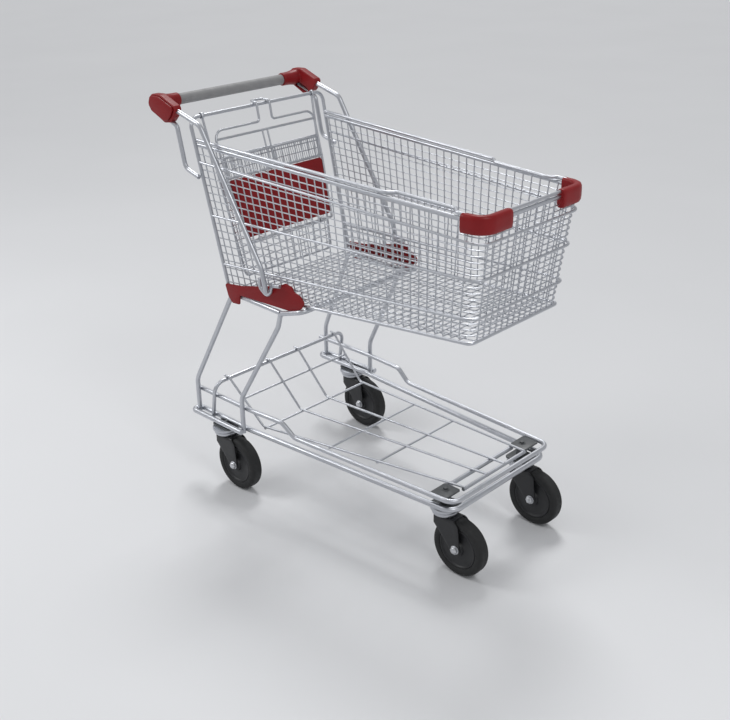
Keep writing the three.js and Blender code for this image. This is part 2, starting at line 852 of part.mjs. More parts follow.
// Moulded end cap: a collar on the bar, and a body that takes the two tubes of its side.
// Its outline starts at the handle bar's centre.
const capOutline = new THREE.Shape();
capOutline.moveTo(-17, -16);
capOutline.lineTo(25, -42);
capOutline.quadraticCurveTo(51, -52, 55, -32);
capOutline.lineTo(67, -18);
capOutline.quadraticCurveTo(73, 0, 59, 6);
capOutline.lineTo(15, 21);
capOutline.quadraticCurveTo(-19, 30, -23, 6);
capOutline.closePath();
const capBevel = 7;
const capBody = new THREE.ExtrudeGeometry(capOutline, {
  depth: capOuterY - capInnerY - 2 * capBevel,
  bevelEnabled: true,
  bevelThickness: capBevel,
  bevelSize: capBevel - 2,
  bevelOffset: -capBevel + 2,
  bevelSegments: 2,
  curveSegments: 4,
})
  .rotateX(Math.PI / 2)
  .translate(handleX, capOuterY - capBevel, handleHeight);
const capCollar = straightRod(
  at(handleX, gripHalfLength + clearance, handleHeight),
  at(handleX, capInnerY + 12, handleHeight),
  gripRadius + 3.5,
  14,
);
pair(
  "handle_cap",
  cut(
    join(capBody, capCollar),
    straightRod(
      at(handleX, gripHalfLength - 2, handleHeight),
      at(handleX, barEndY + clearance, handleHeight),
      handleBarRadius + clearance,
      12,
    ),
    straightRod(
      beyond(braceTubeStart, braceTubeTurn, -clearance),
      braceTubeTurn,
      handleTubeRadius + clearance,
    ),
    straightRod(
      beyond(rearTubeStart, rearTubeTurn, -clearance),
      beyond(rearTubeStart, rearTubeTurn, 60),
      handleTubeRadius - 0.5 + clearance,
    ),
  ),
  redPlastic,
);

// Plastic

// Corner bumper: a band round the outside of the two top rails.
const bumperInner = railWire + clearance;
const bumperTopZ = frontTop.z + upperRailLift + railWire + 1;
function bumperOutline(offset, steps = 6) {
  const bend = wallCorner + offset;
  const centre = [frontTop.x - wallCorner, frontTop.y - wallCorner];
  const taper = (rearTop.y - frontTop.y) / (frontTop.x - rearTop.x);
  const points = [[bumperSideX, frontTop.y + offset + (frontTop.x - bumperSideX) * taper]];
  for (let i = 0; i <= steps; i++) {
    const angle = ((1 - i / steps) * Math.PI) / 2;
    points.push([centre[0] + bend * Math.cos(angle), centre[1] + bend * Math.sin(angle) + 1]);
  }
  points.push([frontTop.x + offset, bumperFrontY]);
  return points;
}
pair(
  "corner_bumper",
  flatSlab(
    [
      ...bumperOutline(bumperInner + 1),
      ...bumperOutline(bumperInner + 1 + bumperThickness).reverse(),
    ],
    bumperTopZ - bumperHeight,
    bumperTopZ,
  ),
  redPlastic,
);

// Side plate over the lower rear corner of the basket, notched over the seat tube.
const plateLowEdge = seatTubeHeight + postRadius + 1;
const plateNotchX = -212;
const plateOutline = [
  [-262, basket.bottomRearZ + 14],
  [-252, basket.bottomRearZ - 18],
  [-239, basket.bottomRearZ - 32],
  [plateNotchX - 2, basket.bottomRearZ - 32],
  [plateNotchX, plateLowEdge],
  [-40, plateLowEdge],
  [-10, basket.bottomRearZ + 6],
  [6, basket.bottomRearZ + 24],
  [-2, basket.bottomRearZ + 45],
  [-27, basket.bottomRearZ + 49],
  [-33, basket.bottomRearZ + 56],
  [-66, basket.bottomRearZ + 57],
];
const plateRearX = plateOutline[0][0];
const plateSlope = (rearBottom.y - frontBottom.y) / (frontBottom.x - rearBottom.x);
const plateInnerY = seatTubeY + postRadius + plateSlope * (plateNotchX - plateRearX) + clearance;
pair(
  "side_plate",
  sideSlab(plateOutline, 0, plateThickness).applyMatrix4(
    new THREE.Matrix4().set(
      1, 0, 0, 0,
      -plateSlope, 1, 0, plateInnerY + plateRearX * plateSlope,
      0, 0, 1, 0,
      0, 0, 0, 1,
    ),
  ),
  redPlastic,
);

// Bracket between the side plate and the foot of the brace tube.
const plateOuterAt = (x) => plateInnerY + plateThickness - (x - plateRearX) * plateSlope;
pair(
  "brace_bracket",
  sideSlab(
    [[-32, 16], [-24, -14], [-12, -18], [-6, -12], [-12, 16], [-20, 24]].map(([x, z]) => [
      braceFootX + x,
      braceFootHeight + z,
    ]),
    plateOuterAt(braceFootX - 32) + clearance,
    handleTubeY - handleTubeRadius - clearance,
  ),
  plated,
);

// Gate with its wires, hung on the rear frame's top bar by two eyes.
const gateX = rearFrameX;
const gateHalf = (z) =>
  mix(gateEyeY, gateBottomHalf, (rearFrameTop - z) / (rearFrameTop - gateBottomZ));
const gateHalfFrame = [
  corner(gateX(gateTopZ), 0, gateTopZ),
  corner(gateX(gateTopZ), gateHalf(gateTopZ), gateTopZ, gateBend),
  corner(gateX(gateBottomZ), gateHalf(gateBottomZ), gateBottomZ, gateBend),
  corner(gateX(gateBottomZ), 0, gateBottomZ),
];
const gateLoopSide = rod(gateHalfFrame, gateWire, 6, Math.PI / 5);
const gateLoopOtherSide = geometryOf(solid(gateLoopSide.clone().scale(1, -1, 1)));
const gatePatch = [
  at(gateX(gateTopZ), -gateHalf(gateTopZ), gateTopZ),
  at(gateX(gateTopZ), gateHalf(gateTopZ), gateTopZ),
  at(gateX(gateBottomZ), -gateHalf(gateBottomZ), gateBottomZ),
  at(gateX(gateBottomZ), gateHalf(gateBottomZ), gateBottomZ),
];
const eyeWall = 3;
const eyeHalfLength = 5;
function eye(inner, x, y, z) {
  const outer = inner + eyeWall;
  return turned(
    [
      [inner, -eyeHalfLength],
      [outer, -eyeHalfLength],
      [outer, eyeHalfLength],
      [inner, eyeHalfLength],
      [inner, -eyeHalfLength],
    ],
    14,
  )
    .rotateX(Math.PI / 2)
    .translate(x, y, z);
}
const gateEyeInner = rearFrameRadius + 2 * clearance;
const gateEye = (side) => eye(gateEyeInner, rearFrameTopX, side * gateEyeY, rearFrameTop);
const gateHangerTop = rearFrameTop - gateEyeInner - eyeWall / 2;
const gateHangerFoot = gateTopZ - gateBend; // below the frame's rounded corner
const gateHanger = (side) =>
  straightRod(
    at(gateX(gateHangerFoot), side * gateHalf(gateHangerFoot), gateHangerFoot),
    at(gateX(gateHangerTop), side * gateHalf(gateHangerTop), gateHangerTop),
    gateWire,
    6,
  );

// A second pair of eyes, on short arms, holds the bottom rod of the folded seat.
const seatX = (z) => seatTop.x + (seatTop.z - z) * seatLean;
const seatEyeInner = seatWire + 2 * clearance;
const seatEyeY = 104;
const seatEye = (side) => eye(seatEyeInner, seatX(seatHinge.z), side * seatEyeY, seatHinge.z);
const seatArm = (side) =>
  straightRod(
    at(gateX(seatArmZ), side * seatEyeY, seatArmZ),
    at(seatX(seatHinge.z) - seatEyeInner - eyeWall / 2, side * seatEyeY, seatHinge.z),
    gateWire,
    6,
  );
piece(
  "rear_gate",
  join(
    gateLoopSide,
    gateLoopOtherSide,
    wireWall(gatePatch, spaced(gateBars, 0), spaced(gateUprights, 0.12), 1),
    ...[gateEye, gateHanger, seatEye, seatArm].flatMap((make) => [make(1), make(-1)]),
  ),
  plated,
);

// Folded child seat: a wire back whose side wires draw in below the knee. Its top rod breaks off
// in the middle, where the hook takes over.
const seatHalf = (z) =>
  z > seatKnee.z
    ? mix(seatTop.half, seatKnee.half, (seatTop.z - z) / (seatTop.z - seatKnee.z))
    : mix(seatKnee.half, seatHinge.half, (seatKnee.z - z) / (seatKnee.z - seatHinge.z));
const seatCorner = (z, side, bend) => corner(seatX(z), side * seatHalf(z), z, bend);
const seatSide = (side) => [
  corner(seatTop.x, hookY + side * (hookHalfWidth + hookReach + clearance), seatTop.z),
  seatCorner(seatTop.z, side, 24),
  seatCorner(seatKnee.z, side, 60),
  seatCorner(seatHinge.z, side, 0),
];
const seatRodAt = (z) =>
  straightRod(at(seatX(z), -seatHalf(z), z), at(seatX(z), seatHalf(z), z), seatWire, 6);
const seatPostAt = (y, fromZ, toZ, share, sides) =>
  straightRod(at(seatX(fromZ), y, fromZ), at(seatX(toZ), y, toZ), seatWire * share, sides);
const [rodUnderTop, rodInMiddle, rodOverPanel] = seatRods;
const fineWireY = spaced(seatFineWires, 0.06).map((s) => (2 * s - 1) * seatHalf(rodOverPanel));
piece(
  "seat_back",
  join(
    ...[1, -1].map((side) => rod(seatSide(side), seatWire, 6, Math.PI / 5)),
    ...[...seatRods, seatHinge.z].map(seatRodAt),
    ...seatPostY.map((y) => seatPostAt(y, rodUnderTop, rodOverPanel, 0.8, 6)),
    ...fineWireY.map((y) => seatPostAt(y, rodInMiddle, rodOverPanel, 0.6, 4)),
  ),
  plated,
);

// Hook in the middle of the top rod, up over the rear frame's top bar and down behind it.
const hookTopZ = rearFrameTop + rearFrameRadius + seatWire + 2 * clearance;
const hookHalf = (side) => [
  corner(seatTop.x, hookY + side * (hookHalfWidth + hookReach), seatTop.z),
  corner(seatTop.x, hookY + side * hookHalfWidth, seatTop.z, 8),
  corner(hookTopX, hookY + side * hookHalfWidth, hookTopZ, 8),
  corner(rearFrameTopX - 13, hookY + side * (hookHalfWidth - 2), hookTopZ, 8),
];
piece(
  "seat_hook",
  rod([...hookHalf(1), ...hookHalf(-1).reverse()], seatWire, 6, Math.PI / 5),
  plated,
);

// Red panel in the lower half of the seat back.
const panelHalf = (z) => seatHalf(z) - seatWire - 2.5 * clearance;
const panelShape = new THREE.Shape(
  [
    [-panelHalf(panelTopZ), panelTopZ],
    [panelHalf(panelTopZ), panelTopZ],
    [panelHalf(panelBottomZ), panelBottomZ],
    [-panelHalf(panelBottomZ), panelBottomZ],
  ].map(([y, z]) => new THREE.Vector2(y, z)),
);
piece(
  "seat_panel",
  new THREE.ExtrudeGeometry(panelShape, { depth: panelThickness, bevelEnabled: false })
    .translate(0, 0, -panelThickness / 2)
    .applyMatrix4(
      new THREE.Matrix4().set(
        0, -seatLean, 1, seatX(0),
        1, 0, 0, 0,
        0, 1, 0, 0,
        0, 0, 0, 1,
      ),
    ),
  redPlastic,
);

// The origin lies on the floor under the middle of the trolley.
const extent = new THREE.Box3().setFromObject(trolley);
const middle = extent.getCenter(at(0, 0, 0));
trolley.position.set(-middle.x, -middle.y, -extent.min.z);

const object = new THREE.Group();
object.add(trolley);
export default object;
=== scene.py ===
# A wire supermarket trolley, seen from its front right, standing on a plain pale floor.
# Sizes are millimetres on the trolley's own drawing: x forward, y to the left of someone pushing
# it, z up from the floor. spot() takes them to the CAD's frame in metres.
import math
import bmesh
import bpy
from mathutils import Matrix, Vector


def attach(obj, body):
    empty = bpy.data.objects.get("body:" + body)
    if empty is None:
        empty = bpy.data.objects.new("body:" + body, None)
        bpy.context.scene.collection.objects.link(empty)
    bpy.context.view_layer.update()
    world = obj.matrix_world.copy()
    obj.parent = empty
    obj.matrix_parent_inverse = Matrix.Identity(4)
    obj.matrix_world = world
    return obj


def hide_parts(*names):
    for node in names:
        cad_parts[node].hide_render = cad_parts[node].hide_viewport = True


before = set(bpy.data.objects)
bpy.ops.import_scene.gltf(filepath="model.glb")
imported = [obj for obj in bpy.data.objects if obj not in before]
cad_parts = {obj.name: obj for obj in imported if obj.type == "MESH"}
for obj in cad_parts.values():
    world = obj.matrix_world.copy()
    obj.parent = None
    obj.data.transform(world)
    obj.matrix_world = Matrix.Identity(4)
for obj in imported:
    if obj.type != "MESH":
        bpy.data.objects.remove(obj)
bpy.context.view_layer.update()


# Camera
# It stands at the photograph's place: ahead of the basket, to its right and above it, with a very
# slight roll. Its focal length is known in pixels of the photograph, 730 of them across.
focal_pixels, picture_width, sensor_width = 1081.6, 730, 36
camera_place = Vector((1.6921, -1.7693, 1.4829))
azimuth, elevation, roll = (math.radians(degrees) for degrees in (43.93, 24.72, -0.79))
camera_back = Vector((math.sin(azimuth) * math.cos(elevation),
                      -math.cos(azimuth) * math.cos(elevation), math.sin(elevation)))
level_right = Vector((math.cos(azimuth), math.sin(azimuth), 0))
level_up = camera_back.cross(level_right)
camera_right = level_right * math.cos(roll) + level_up * math.sin(roll)
camera_up = level_up * math.cos(roll) - level_right * math.sin(roll)
camera = bpy.data.objects.new("camera", bpy.data.cameras.new("camera"))
camera.data.sensor_fit = "HORIZONTAL"
camera.data.sensor_width = sensor_width
camera.data.lens = sensor_width * focal_pixels / picture_width
camera.data.clip_end = 200
facing = Matrix((camera_right, camera_up, camera_back)).transposed().to_quaternion()
camera.matrix_world = Matrix.LocRotScale(camera_place, facing, None)
bpy.context.scene.collection.objects.link(camera)
bpy.context.scene.camera = camera
bpy.context.scene.view_settings.view_transform = "Standard"


# Floor, lamps and sky
# A pale matt studio floor that runs on past the view, one broad high light from behind, two weaker
# lamps in front, and an even pale sky. Together they light a level surface at its own colour.
def linear(colour):
    """A colour written as sRGB hex, as the linear values that a node takes."""
    parts = [int(colour[i:i + 2], 16) / 255 for i in (1, 3, 5)]
    return [c / 12.92 if c <= 0.04045 else ((c + 0.055) / 1.055) ** 2.4 for c in parts] + [1]


def add(tree, kind, inputs=None, **settings):
    """A node with its settings, and with a value or a link in each input that is named."""
    made = tree.nodes.new(kind)
    for name, value in settings.items():
        setattr(made, name, value)
    for name, value in (inputs or {}).items():
        if isinstance(value, bpy.types.NodeSocket):
            tree.links.new(value, made.inputs[name])
        else:
            made.inputs[name].default_value = value
    return made


def surface(name, shades, patches, roughness, grain=None, relief=None, drift=(0.3, 0.7),
            shader=None):
    """A material whose colour and roughness drift in soft patches, with a fine grain in relief.

    shades and roughness give the two ends of the drift, and patches its noise's scale and detail.
    grain is a texture's kind, scale and detail, and relief is its strength and height in metres.
    shader holds what is the same all over, as one number for roughness is.
    """
    made = bpy.data.materials.new(name)
    made.use_nodes = True
    tree = made.node_tree
    tree.nodes.clear()
    place = add(tree, "ShaderNodeTexCoord").outputs["Object"]
    cloud = add(tree, "ShaderNodeTexNoise",
                {"Vector": place, "Scale": patches[0], "Detail": patches[1]}).outputs[0]
    shade = add(tree, "ShaderNodeMix", {"Factor": cloud, 6: linear(shades[0]),
                                        7: linear(shades[1])}, data_type="RGBA")
    inputs = {"Base Color": shade.outputs[2], "Roughness": roughness, **(shader or {})}
    if isinstance(roughness, tuple):
        inputs["Roughness"] = add(tree, "ShaderNodeMapRange", {
            "Value": cloud, "From Min": drift[0], "From Max": drift[1],
            "To Min": roughness[0], "To Max": roughness[1]}).outputs[0]
    if grain:
        kind, *sizes = grain
        texture = add(tree, "ShaderNodeTex" + kind,
                      {"Vector": place, **dict(zip(("Scale", "Detail"), sizes))})
        inputs["Normal"] = add(tree, "ShaderNodeBump", {
            "Height": texture.outputs[0], "Strength": relief[0],
            "Distance": relief[1]}).outputs[0]
    finished = add(tree, "ShaderNodeBsdfPrincipled", inputs)
    add(tree, "ShaderNodeOutputMaterial", {"Surface": finished.outputs[0]})
    return made


floor_paint = surface("matt_studio_floor", ("#D3D4D6", "#D8D9DB"), (1.3, 2.0), 0.7)
floor_mesh = bpy.data.meshes.new("floor")
edge = 60
floor_mesh.from_pydata([(-edge, -edge, 0), (edge, -edge, 0), (edge, edge, 0), (-edge, edge, 0)],
                       [], [(0, 1, 2, 3)])
floor_mesh.materials.append(floor_paint)
floor = bpy.data.objects.new("floor", floor_mesh)
bpy.context.scene.collection.objects.link(floor)

trolley_middle = Vector((0, 0, 0.5))
for name, where, size, power in (("lamp_left", (-2.2, -1.6, 2.6), 1.1, 30),
                                 ("lamp_front", (2.4, -0.6, 2.9), 0.9, 20)):
    lamp = bpy.data.objects.new(name, bpy.data.lights.new(name, "AREA"))
    lamp.data.shape = "SQUARE"
    lamp.data.size = size
    lamp.data.energy = power
    lamp.location = where
    lamp.rotation_euler = (trolley_middle - Vector(where)).to_track_quat("-Z", "Y").to_euler()
    bpy.context.scene.collection.objects.link(lamp)
skylight = bpy.data.objects.new("skylight", bpy.data.lights.new("skylight", "SUN"))
skylight.data.energy = 1.25
skylight.data.angle = math.radians(16)
skylight.rotation_euler = Vector((-0.42, 0.5, 0.95)).to_track_quat("Z", "Y").to_euler()
bpy.context.scene.collection.objects.link(skylight)

sky = bpy.data.worlds.new("sky")
bpy.context.scene.world = sky
sky.use_nodes = True
sky.node_tree.nodes.clear()
glow = add(sky.node_tree, "ShaderNodeBackground", {"Color": linear("#EDEEF0"), "Strength": 0.55})
add(sky.node_tree, "ShaderNodeOutputWorld", {"Surface": glow.outputs[0]})


# Chassis rails
# Two round steel tubes bent round the trolley's foot one above the other, welded to the castor
# plates and posts and then zinc plated. The lower one doubles back on itself at its rear ends.
drawing_middle = 12.5


def spot(x, y, z):
    """A point of the drawing, in metres in the CAD's frame."""
    return Vector(((x - drawing_middle) / 1000, y / 1000, z / 1000))


# Bright zinc plate on drawn steel. The eye sees a soft silver with a cold cast, clearer in some
# places than in others, and a fine grain that spreads each highlight. The passivation's clouds are
# 25 mm across. The grain is 0.8 mm, coarser than the real crystals so that it shows.
zinc = surface("bright_zinc_plate", ("#B9BCC2", "#CDCFD4"), (40.0, 3.0), (0.44, 0.34),
               ("Noise", 1200.0, 2.0), (0.02, 0.0002), shader={"Metallic": 1.0})

# The rod bender: lines of corners become round rods with the corners bent to their own radius. The
# lines can be repeated, spread evenly between where they are and where "spread_to" puts them.
bender = bpy.data.node_groups.new("rod_bender", "GeometryNodeTree")
bender.is_modifier = True
for label, kind in (("Lines", "Geometry"), ("Copies", "Int"), ("Radius", "Float"),
                    ("Sides", "Int"), ("Bend Points", "Int"), ("Finish", "Material")):
    bender.interface.new_socket(label, in_out="INPUT", socket_type="NodeSocket" + kind)
bender.interface.new_socket("Rods", in_out="OUTPUT", socket_type="NodeSocketGeometry")
given = add(bender, "NodeGroupInput").outputs
lines = add(bender, "GeometryNodeMeshToCurve", {"Mesh": given["Lines"]})
copies = add(bender, "GeometryNodeDuplicateElements",
             {"Geometry": lines.outputs[0], "Amount": given["Copies"]}, domain="SPLINE")
gaps = add(bender, "ShaderNodeMath", {0: given["Copies"], 1: -1.0}, operation="ADD")
gaps = add(bender, "ShaderNodeMath", {0: gaps.outputs[0], 1: 1.0}, operation="MAXIMUM")
share = add(bender, "ShaderNodeMath", {0: copies.outputs["Duplicate Index"],
                                       1: gaps.outputs[0]}, operation="DIVIDE")
here = add(bender, "GeometryNodeInputPosition")
there = add(bender, "GeometryNodeInputNamedAttribute", {"Name": "spread_to"},
            data_type="FLOAT_VECTOR")
between = add(bender, "ShaderNodeMix", {0: share.outputs[0], 4: here.outputs[0],
                                        5: there.outputs[0]}, data_type="VECTOR")
spread = add(bender, "GeometryNodeSetPosition",
             {"Geometry": copies.outputs[0], "Position": between.outputs[1]})
bend = add(bender, "GeometryNodeInputNamedAttribute", {"Name": "bend"}, data_type="FLOAT")
bent = add(bender, "GeometryNodeFilletCurve", {
    "Curve": spread.outputs[0], "Count": given["Bend Points"], "Radius": bend.outputs[0],
    "Limit Radius": True}, mode="POLY")
section = add(bender, "GeometryNodeCurvePrimitiveCircle",
              {"Resolution": given["Sides"], "Radius": given["Radius"]}, mode="RADIUS")
swept = add(bender, "GeometryNodeCurveToMesh", {
    "Curve": bent.outputs[0], "Profile Curve": section.outputs[0], "Fill Caps": True})
whole = add(bender, "GeometryNodeRealizeInstances", {"Geometry": swept.outputs[0]})
coated = add(bender, "GeometryNodeSetMaterial",
             {"Geometry": whole.outputs[0], "Material": given["Finish"]})
add(bender, "NodeGroupOutput", {"Rods": coated.outputs[0]})
socket_of = {item.name: item.identifier for item in bender.interface.items_tree}


def settle(piece, sharp=40):
    """Makes a piece's modifiers final and shades it smooth, with its sharp edges kept."""
    view = bpy.context.evaluated_depsgraph_get()
    final = bpy.data.meshes.new_from_object(piece.evaluated_get(view))
    piece.modifiers.clear()
    piece.data = final
    final.polygons.foreach_set("use_smooth", [True] * len(final.polygons))
    final.set_sharp_from_angle(angle=math.radians(sharp))
    return piece


def bent_rods(name, lines, radius, last=None, copies=1, sides=12, bend_points=6):
    """Zinc-plated rods along lines of corners (x, y, z and the bend's radius there). With last,
    that many copies are spread from lines to last."""
    points, edges, bends, ends = [], [], [], []
    for line, end in zip(lines, last or lines):
        first = len(points)
        edges += [(first + k, first + k + 1) for k in range(len(line) - 1)]
        points += [spot(*corner[:3]) for corner in line]
        bends += [(corner[3] if len(corner) > 3 else 0) / 1000 for corner in line]
        for corner in end:
            ends.extend(spot(*corner[:3]))
    mesh = bpy.data.meshes.new(name)
    mesh.from_pydata(points, edges, [])
    mesh.attributes.new("bend", "FLOAT", "POINT").data.foreach_set("value", bends)
    mesh.attributes.new("spread_to", "FLOAT_VECTOR", "POINT").data.foreach_set("vector", ends)
    piece = bpy.data.objects.new(name, mesh)
    bpy.context.scene.collection.objects.link(piece)
    work = piece.modifiers.new("bend_and_sweep", "NODES")
    work.node_group = bender
    for label, value in (("Copies", copies), ("Radius", radius / 1000), ("Sides", sides),
                         ("Bend Points", bend_points), ("Finish", zinc)):
        work[socket_of[label]] = value
    return settle(piece)


def hold(piece, body, slot, *nodes):
    """The piece rides on its body and stands for the CAD's nodes; slot is not used."""
    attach(piece, body)
    if nodes:
        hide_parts(*nodes)


def across(line):
    """A line drawn on the left side, run on to the right side as its mirror image."""
    return line + [(c[0], -c[1], *c[2:]) for c in reversed(line)]


lower_z, lower_radius = 172, 7
upper_z, upper_radius, step_z = 230, 6, 200
inner_leg, outer_leg, turn_back = 222, 247.4, 12.7
hold(bent_rods("lower_rail", [across([
    (-200, outer_leg, lower_z), (-395, outer_leg, lower_z, turn_back),
    (-395, inner_leg, lower_z, turn_back), (-203, inner_leg, lower_z, 60),
    (430, 174, lower_z, 28)])], lower_radius, sides=20, bend_points=10),
    "trolley_frame", "plated_wire", "chassis_lower_rail")
hold(bent_rods("upper_rail", [across([
    (-394, 222.6, upper_z), (-194, 222.6, upper_z, 60), (-80, 214, upper_z, 30),
    (-42, 210, step_z, 30), (437, 180, step_z, 26)])], upper_radius, sides=18, bend_points=9),
    "trolley_frame", "plated_wire", "chassis_upper_rail")


# Posts
# Round tube bent to carry the basket: the front one is one tube that crosses under the basket, the
# rear ones lean forward and run along under its sides. Each stands between the lower rail's legs.
post_y, post_radius = 234.7, 6
post_foot, post_knee, knee_bend = 165, 262, 60
tube_top = 524.9
both_sides = (("left", 1), ("right", -1))
hold(bent_rods("front_posts", [across([
    (-206, post_y, post_foot), (-206, post_y, post_knee, knee_bend), (-84, 208, 482, 50),
    (-75, 206, 519, 12), (-4, 202, 540, 16)])], post_radius, sides=18, bend_points=9),
    "trolley_frame", "tube_steel", "front_support_hoop")
for side, turn in both_sides:
    hold(bent_rods("rear_post_" + side, [[
        (-382.3, turn * post_y, post_foot), (-382.3, turn * post_y, post_knee, knee_bend),
        (-251, turn * 204, tube_top, 22), (-78, turn * 204, tube_top - 5)]], post_radius,
        sides=18, bend_points=9), "trolley_frame", "tube_steel", "rear_support_" + side)


# Tray
# Four long wires that climb at the rear to a raised bar, with four thin wires and a thick one
# welded across beneath them, all plated with the chassis. It keeps bottles off the rails.
tray_rear, tray_front = -312, 416
tray_bar_radius, tray_wire_radius, tray_front_radius = 5, 3, 4.5
hold(bent_rods("tray_bar", [across([
    (-328, 233.7, post_foot), (tray_rear, 233.7, 268, 28)])], tray_bar_radius, sides=16,
    bend_points=8), "trolley_frame", "plated_wire", "tray_rear_hoop")


def tray_run(spread, x):
    """How far from the middle a long wire runs: the tray narrows to the front."""
    return spread[0] + (spread[1] - spread[0]) * (x - tray_rear) / (tray_front - tray_rear)


outer_spread, inner_spread = (193, 112), (52, 33)
tray_wires = []
for spread in (outer_spread, inner_spread):
    for turn in (1, -1):
        tray_wires.append([(x, turn * tray_run(spread, x), z, *bend) for x, z, *bend in (
            (-320, 276), (-306, 276, 9), (-193, 166, 14), (tray_front, 203))])
for x, z in ((-258.5, 225.6), (-185, 162.9), (26, 175.7), (171, 184.6)):
    half = tray_run(outer_spread, x) + tray_wire_radius
    tray_wires.append([(x, -half, z), (x, half, z)])
hold(bent_rods("tray_wires", tray_wires, tray_wire_radius), "trolley_frame", "plated_wire",
     "tray_rack")
hold(bent_rods("tray_front_wire", [[(413, -116, 198.4), (413, 116, 198.4)]], tray_front_radius,
               sides=16), "trolley_frame", "plated_wire")


# Castor heads
# A pressed plate welded under the rails with the swivel bearing's two rings pressed on beneath it.
# The front pair also have a bolted plate at the upper rail, with a bar across between them.
def piece_from(name, points, faces, finish):
    """A piece from points and faces, its doubled points merged and its faces turned outwards."""
    shape = bmesh.new()
    made = [shape.verts.new(p) for p in points]
    for face in faces:
        shape.faces.new([made[i] for i in face])
    bmesh.ops.remove_doubles(shape, verts=shape.verts, dist=1e-6)
    bmesh.ops.dissolve_degenerate(shape, edges=shape.edges, dist=1e-7)
    bmesh.ops.recalc_face_normals(shape, faces=shape.faces)
    mesh = bpy.data.meshes.new(name)
    shape.to_mesh(mesh)
    shape.free()
    mesh.materials.append(finish)
    piece = bpy.data.objects.new(name, mesh)
    bpy.context.scene.collection.objects.link(piece)
    return piece


def turned(profile, centre, axis="z", sides=48):
    """Points and faces of a closed profile of (radius, height) turned about an axis."""
    points, faces, count = [], [], len(profile)
    for k in range(sides):
        angle = 2 * math.pi * k / sides
        for radius, height in profile:
            a, b = radius * math.cos(angle), radius * math.sin(angle)
            offset = (a, b, height) if axis == "z" else (a, height, b)
            points.append(spot(*(c + o for c, o in zip(centre, offset))))
    for k in range(sides):
        for i in range(count):
            j, n = (i + 1) % count, (k + 1) % sides
            faces.append((k * count + i, k * count + j, n * count + j, n * count + i))
    return points, faces


def slab(outline, low, high, lift=lambda u, v, w: (u, v, w)):
    """Points and faces of an outline of (u, v) given a thickness from low to high."""
    count = len(outline)
    points = [spot(*lift(u, v, w)) for w in (low, high) for u, v in outline]
    faces = [tuple(range(count)), tuple(range(2 * count - 1, count - 1, -1))]
    faces += [(i, (i + 1) % count, count + (i + 1) % count, count + i) for i in range(count)]
    return points, faces


def rounded(corners, radius, steps=5):
    """An outline with each corner rounded; a third number in a corner is its own radius."""
    points, count = [], len(corners)
    for i, (u, v, *own) in enumerate(corners):
        here = Vector((u, v))
        into = Vector(corners[i - 1][:2]) - here
        out = Vector(corners[(i + 1) % count][:2]) - here
        half = into.angle(out) / 2
        bend = own[0] if own else radius
        cut = min(bend / math.tan(half), 0.48 * into.length, 0.48 * out.length)
        bend = cut * math.tan(half)
        centre = here + (into.normalized() + out.normalized()).normalized() * bend / math.sin(half)
        start = here + into.normalized() * cut - centre
        stop = here + out.normalized() * cut - centre
        turn = start.angle_signed(stop)
        for k in range(steps + 1):
            points.append(tuple(centre + Matrix.Rotation(-turn * k / steps, 2) @ start))
    return points


def together(*shapes):
    """Several lists of points and faces as one."""
    points, faces = [], []
    for more_points, more_faces in shapes:
        faces += [tuple(i + len(points) for i in face) for face in more_faces]
        points += more_points
    return points, faces


def eased(piece, width, steps=2, angle=35):
    """Rounds a piece's edges as pressing, casting or moulding does."""
    bevel = piece.modifiers.new("eased", "BEVEL")
    bevel.width = width / 1000
    bevel.segments = steps
    bevel.limit_method = "ANGLE"
    bevel.angle_limit = math.radians(angle)
    return settle(piece)


# The plates are a dull dark grey, paler in 12 mm patches.
dark_steel = surface("dull_dark_grey_steel", ("#3F4244", "#56595B"), (85.0, 4.0), (0.5, 0.38),
                     shader={"IOR": 1.5})

swivels = {"front_left": (385, 144), "front_right": (385, -144),
           "rear_left": (-277, post_y), "rear_right": (-277, -post_y)}
plate_under, plate_top = 160.4, 164.6
upper_under, upper_top, washer_top = 196, 200, 201.2
spacer_radius, washer_radius = 13, 9
# Radius and height, from the fork's head up: the lower ring, the gap, the upper ring.
race = [(2, 142), (27, 142), (29.6, 143), (30.6, 145.5), (30.6, 149), (29.4, 151.2), (27, 151.8),
        (27, 152.6), (33, 152.8), (34.8, 154.6), (34.8, 158.4), (33.4, 160.6), (2, 160.6)]
for name, (x, y) in swivels.items():
    front = name.startswith("front")
    outward = 1 if y > 0 else -1
    deep, wide = (30, 27) if front else (33, 20)
    plates = [slab(rounded([(x - deep, y - wide), (x + deep, y - wide), (x + deep, y + wide),
                            (x - deep, y + wide)], 8), plate_under, plate_top)]
    if front:
        upper_plate = [(x - 19.5, outward * 122), (x + 26, outward * 122),
                       (x + 26, outward * 176.3), (x - 19.5, outward * 179)]
        spacer = [(0, plate_top), (spacer_radius, plate_top), (spacer_radius, upper_under),
                  (0, upper_under)]
        washer = [(0, upper_top), (washer_radius, upper_top), (washer_radius, washer_top),
                  (0, washer_top)]
        plates += [turned(spacer, (x, y, 0), sides=32),
                   slab(rounded(upper_plate, 6), upper_under, upper_top),
                   turned(washer, (x, y, 0), sides=28),
                   turned([(0, washer_top), (6.5, washer_top), (6.5, 205), (5.2, 206), (0, 206)],
                          (x, y, 0), sides=6)]
    else:
        plates.append(turned([(0, plate_top), (5.5, plate_top), (5.5, 173), (4.6, 174), (0, 174)],
                             (x, y, 0), sides=6))
    hold(eased(piece_from("castor_plates_" + name, *together(*plates), dark_steel), 0.7),
         "trolley_frame", "black_steel")
    hold(settle(piece_from("castor_race_" + name, *turned(race, (x, y, 0)), zinc), 50),
         "trolley_frame", "plated_wire", "castor_head_" + name)
bar_x, bar_end, bar_z, bar_radius = 371, 121.7, 191.8, 5.5
